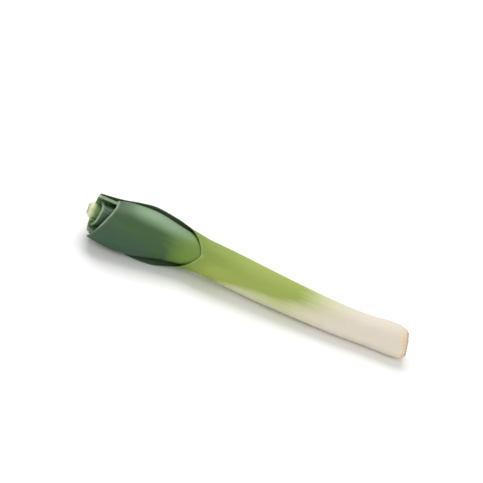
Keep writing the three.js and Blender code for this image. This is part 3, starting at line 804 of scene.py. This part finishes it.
def leaf_material(
        name, outer_stops, inner_stops, tilt_up=0.0, streaks=30.0, gloss=0.5, shine=0.5, wax_and_highlight=0.0):
    """Leaf skin: a colour scale from root to tip, streaked along the veins, with paler veins, a pale
    mouth rim, moist cut edges and fine furrows as bump. Stops are (millimetres from the root, colour).
    tilt_up slides the scale round the leek, streaks says how far they run along it, gloss is the
    roughness, shine the strength of reflections, and wax_and_highlight that of the pale wax colour, laid
    as a painted highlight on the upper side and as wax all over a waxy leaf."""
    colours = bpy.context.scene.leek_colours
    material, tree, shader = new_material(name)
    grain = attribute(tree, "grain", "Vector")
    streak = noise(tree, grain, 1.0, STREAKS, detail=4)
    blotch = noise(tree, grain, 1.0, BLOTCHES, detail=2)
    fibre = noise(tree, grain, 1.0, FIBRES)

    tone = leaf_tone(tree, streak, blotch, tilt_up, streaks)
    outer = ramp(tree, tone, outer_stops, TONE_LENGTH)
    inner = ramp(tree, tone, inner_stops, TONE_LENGTH)
    skin = mix(tree, attribute(tree, "hollow"), outer, inner)
    vein = calculate(tree, "MULTIPLY", attribute(tree, "rib"), fibre)
    veined = mix(tree, calculate(tree, "MULTIPLY", vein, VEIN_TINT), skin, colours.rim)
    shade = uneven(tree, fibre, FIBRE_SHADE, 1.0)
    grey = add_node(tree, "ShaderNodeCombineColor", {"Red": shade, "Green": shade, "Blue": shade})
    mottled = mix(tree, 1.0, veined, grey.outputs[0], "MULTIPLY")

    # Painted highlight: the pale wax colour over the side that looks up, and wax all over a waxy leaf
    highlight_and_wax = calculate(tree, "MULTIPLY_ADD", streak, HIGHLIGHT_AND_WAX_STREAKS, wax_and_highlight)
    highlight_and_wax = calculate(tree, "MULTIPLY", attribute(tree, "wax_and_highlight"), highlight_and_wax)
    highlight_and_wax = calculate(tree, "MULTIPLY", highlight_and_wax, wax_and_highlight, clamp=True)
    with_wax_and_highlight = mix(tree, highlight_and_wax, mottled, colours.wax_and_highlight)
    rim = calculate(tree, "MULTIPLY", attribute(tree, "rim"), RIM_TINT)
    rimmed = mix(tree, rim, with_wax_and_highlight, colours.rim)
    pores = noise(tree, add_node(tree, "ShaderNodeTexCoord").outputs["Object"], PORES, detail=2)
    flesh = mix(tree, calculate(tree, "MULTIPLY", pores, PORE_TINT), colours.flesh, rimmed)
    cut = calculate(tree, "MULTIPLY", attribute(tree, "cut"), attribute(tree, "pale_cut"))
    tree.links.new(mix(tree, cut, rimmed, flesh), shader.inputs["Base Color"])

    rough = calculate(tree, "MULTIPLY_ADD", streak, 0.2, gloss - 0.1)
    tree.links.new(rough, shader.inputs["Roughness"])
    furrows = calculate(tree, "MULTIPLY", fibre, 0.6)
    add_bump(tree, shader, calculate(tree, "MULTIPLY_ADD", streak, 0.4, furrows), 0.3, 0.0004)
    shader.inputs["Subsurface Weight"].default_value = 0.15
    shader.inputs["Subsurface Radius"].default_value = (1.0, 0.9, 0.4)
    shader.inputs["Subsurface Scale"].default_value = 0.003
    shader.inputs["Specular IOR Level"].default_value = shine
    return material


# Noise scales on the root plate
PLATE_BLOTCHES = 240.0
PLATE_FIBRES = 1300.0
PLATE_FIBRE_STRETCH = (0.35, 1, 1)  # under 1 draws the fibres out along the leek
BARK_TINT = 0.6  # share of the bark's colour on an old fibre


def root_material():
    """Root plate: a creamy flank, a drier tan cut face, and brown root stubs with darker cores."""
    colours = bpy.context.scene.leek_colours
    material, tree, shader = new_material("root_plate")
    place = add_node(tree, "ShaderNodeTexCoord").outputs["Object"]
    blotch = noise(tree, place, PLATE_BLOTCHES, detail=4)
    fibre = noise(tree, place, PLATE_FIBRES, PLATE_FIBRE_STRETCH)
    age = attribute(tree, "age")
    stops = ((0.0, colours.flank), (0.35, colours.plate), (0.65, colours.stub), (1.0, colours.bark))
    tint = ramp(tree, uneven(tree, blotch, 0.5, age), stops)
    dark = calculate(tree, "MULTIPLY", calculate(tree, "MULTIPLY", fibre, age), BARK_TINT)
    speckled = mix(tree, dark, tint, colours.bark)
    tree.links.new(speckled, shader.inputs["Base Color"])
    shader.inputs["Roughness"].default_value = 0.75
    add_bump(tree, shader, calculate(tree, "MULTIPLY_ADD", fibre, 0.5, blotch), 0.5, 0.0005)
    return material


# Operators


class LEEK_OT_outer_leaf(bpy.types.Operator):
    """Add the outermost leaf: white shank, yellow-green sheath and the blade behind the others"""

    bl_idname = "leek.outer_leaf"
    bl_label = "Outer leaf"

    def execute(self, context):
        c = context.scene.leek_colours
        outer = (
            (4, c.flank), (9, c.white), (60, c.white), (88, c.cream), (108, c.pale), (128, c.lime),
            (180, c.lime), (222, c.sheath), (248, c.fresh), (285, c.leaf), (350, c.bloom),
        )
        inner = ((0, c.white), (200, c.lime), (232, c.lining), (350, c.lining))
        material = leaf_material("outer_leaf", outer, inner, tilt_up=25, gloss=0.6, shine=0.2, wax_and_highlight=0.6)
        piece = leaf_piece("leaf_1_outer", material)
        return {"FINISHED"}


class LEEK_OT_green_leaves(bpy.types.Operator):
    """Add the two deep green leaves inside the outermost one"""

    bl_idname = "leek.green_leaves"
    bl_label = "Green leaves"

    def execute(self, context):
        c = context.scene.leek_colours
        outer = (
            (0, c.white), (190, c.sheath), (240, c.fresh), (270, c.leaf), (300, c.leaf), (335, c.bloom),
        )
        inner = ((0, c.white), (210, c.lime), (250, c.young), (300, c.inner), (350, c.inner))
        material = leaf_material("green_leaf", outer, inner, gloss=0.42, shine=0.25, wax_and_highlight=0.9)
        for name in ("leaf_2", "leaf_3"):
            piece = leaf_piece(name, material)
        return {"FINISHED"}


class LEEK_OT_inner_leaves(bpy.types.Operator):
    """Add the two young leaves round the heart"""

    bl_idname = "leek.inner_leaves"
    bl_label = "Inner leaves"

    def execute(self, context):
        c = context.scene.leek_colours
        # Towards the tips the outer face darkens to the blue-green bloom: partly the leaves' own green,
        # partly painted shade of the hollow under the outer leaves' cut ends
        outer = (
            (0, c.white), (225, c.heart), (280, c.young), (302, c.inner), (318, c.bloom), (350, c.bloom),
        )
        inner = ((0, c.white), (245, c.heart), (290, c.young), (350, c.young))
        material = leaf_material(
            "inner_leaf", outer, inner, tilt_up=14, streaks=18, gloss=0.42, shine=0.3)
        for name in ("leaf_4", "leaf_5"):
            piece = leaf_piece(name, material)
        return {"FINISHED"}


class LEEK_OT_heart(bpy.types.Operator):
    """Add the rolled heart leaf"""

    bl_idname = "leek.heart"
    bl_label = "Heart"

    def execute(self, context):
        c = context.scene.leek_colours
        stops = (
            (0, c.white), (210, c.heart), (322, c.heart), (330, c.inner), (338.5, c.inner),
            (343.5, c.heart),
        )
        material = leaf_material("heart_leaf", stops, stops, streaks=4, gloss=0.4, shine=0.4)
        piece = leaf_piece("leaf_6_heart", material)
        return {"FINISHED"}


class LEEK_OT_root_plate(bpy.types.Operator):
    """Add the cut root plate with its trimmed root stubs"""

    bl_idname = "leek.root_plate"
    bl_label = "Root plate"

    def execute(self, context):
        body_points, body_faces, body_age = plate_body()
        stub_points, stub_faces, stub_age = stub_pieces(len(body_points))
        points = np.concatenate([body_points, stub_points])
        age = np.concatenate([body_age, stub_age])
        faces = [*body_faces, *stub_faces]
        piece = make_piece("root_plate", points, faces, {"age": age}, {})
        piece.data.materials.append(root_material())
        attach(piece, "root")
        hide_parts("root_plate")
        return {"FINISHED"}


FLOOR_REACH = 4.0  # metres from the middle to each side
FLOOR_DROP = 0.0004  # metres below the leek, so that their faces don't flicker
# Lights: (name, place and diameter in metres)
KEY_LIGHT = ("key_light", (-0.3, 0.7, 1.2), 1.3)
FILL_LIGHT = ("fill_light", (0.5, -1.2, 0.9), 1.2)
LIGHT_AIM = (0, 0, 0.02)
SENSOR_WIDTH = 36
CLIP = (0.05, 20)
# The picture's middle is this high over the leek's origin, then this far to the picture's right and up
VIEW_HEIGHT = 0.022
VIEW_SHIFT = (-0.0071, 0.0381)


def area_light(name, place, size, power):
    """A round soft light that looks at the leek."""
    data = bpy.data.lights.new(name, "AREA")
    data.shape = "DISK"
    data.size = size
    data.energy = power
    light = bpy.data.objects.new(name, data)
    light.location = place
    light.rotation_euler = (Vector(LIGHT_AIM) - Vector(place)).to_track_quat("-Z", "Y").to_euler()
    bpy.context.scene.collection.objects.link(light)


class LEEK_OT_stage(bpy.types.Operator):
    """Add the pale floor, the soft lights and the camera"""

    bl_idname = "leek.stage"
    bl_label = "Stage"

    def execute(self, context):
        stage = context.scene.leek_stage
        self.add_floor(context, stage)
        world = bpy.data.worlds.new("surroundings")
        world.use_nodes = True
        background = world.node_tree.nodes["Background"]
        background.inputs["Color"].default_value = (1, 1, 1, 1)
        background.inputs["Strength"].default_value = stage.sky
        context.scene.world = world
        context.scene.view_settings.view_transform = "Standard"
        area_light(*KEY_LIGHT, stage.key_power)
        area_light(*FILL_LIGHT, stage.fill_power)
        self.add_camera(context, stage)
        return {"FINISHED"}

    def add_floor(self, context, stage):
        """A square just under the leek."""
        near, far, low = -FLOOR_REACH, FLOOR_REACH, -FLOOR_DROP
        corners = [(near, near, low), (far, near, low), (far, far, low), (near, far, low)]
        mesh = bpy.data.meshes.new("floor")
        mesh.from_pydata(corners, [], [(0, 1, 2, 3)])
        floor = bpy.data.objects.new("floor", mesh)
        context.scene.collection.objects.link(floor)
        material, _, shader = new_material("floor")
        shader.inputs["Base Color"].default_value = (*stage.floor_tint, 1)
        shader.inputs["Roughness"].default_value = 0.8
        mesh.materials.append(material)

    def add_camera(self, context, stage):
        """Looks along +Y and down, rolled, from far enough to flatten the perspective."""
        forward = Vector((0, math.cos(stage.elevation), -math.sin(stage.elevation)))
        level_right = Vector((1, 0, 0))
        level_up = level_right.cross(forward)
        right = math.cos(stage.roll) * level_right + math.sin(stage.roll) * level_up
        up = -math.sin(stage.roll) * level_right + math.cos(stage.roll) * level_up
        data = bpy.data.cameras.new("camera")
        data.sensor_width = SENSOR_WIDTH
        data.lens = data.sensor_width * stage.distance / stage.frame_width
        data.clip_start, data.clip_end = CLIP
        camera = bpy.data.objects.new("camera", data)
        middle = Vector((0, 0, VIEW_HEIGHT)) + VIEW_SHIFT[0] * right + VIEW_SHIFT[1] * up
        place = Matrix.Translation(middle - forward * stage.distance)
        camera.matrix_world = place @ Matrix((right, up, -forward)).transposed().to_4x4()
        context.scene.collection.objects.link(camera)
        context.scene.camera = camera


class LEEK_PT_panel(bpy.types.Panel):
    """Lists the leek's pieces and sizes"""

    bl_idname = "LEEK_PT_panel"
    bl_label = "Leek"
    bl_space_type = "VIEW_3D"
    bl_region_type = "UI"
    bl_category = "Leek"

    def draw(self, context):
        scene = context.scene
        for operator in OPERATORS:
            self.layout.operator(operator.bl_idname)
        for settings in (scene.leek_form, scene.leek_colours, scene.leek_stage):
            box = self.layout.box()
            for name in settings.__annotations__:
                box.prop(settings, name)


OPERATORS = (
    LEEK_OT_stage, LEEK_OT_root_plate, LEEK_OT_outer_leaf, LEEK_OT_green_leaves, LEEK_OT_inner_leaves,
    LEEK_OT_heart,
)
CLASSES = (LeekForm, LeekColours, LeekStage, *OPERATORS, LEEK_PT_panel)


def register():
    for made in CLASSES:
        bpy.utils.register_class(made)
    bpy.types.Scene.leek_form = PointerProperty(type=LeekForm)
    bpy.types.Scene.leek_colours = PointerProperty(type=LeekColours)
    bpy.types.Scene.leek_stage = PointerProperty(type=LeekStage)


def unregister():
    del bpy.types.Scene.leek_stage
    del bpy.types.Scene.leek_colours
    del bpy.types.Scene.leek_form
    for made in reversed(CLASSES):
        bpy.utils.unregister_class(made)


def main():
    register()
    bpy.ops.leek.stage()
    bpy.ops.leek.root_plate()
    bpy.ops.leek.outer_leaf()
    bpy.ops.leek.green_leaves()
    bpy.ops.leek.inner_leaves()
    bpy.ops.leek.heart()


if __name__ == "__main__":
    main()
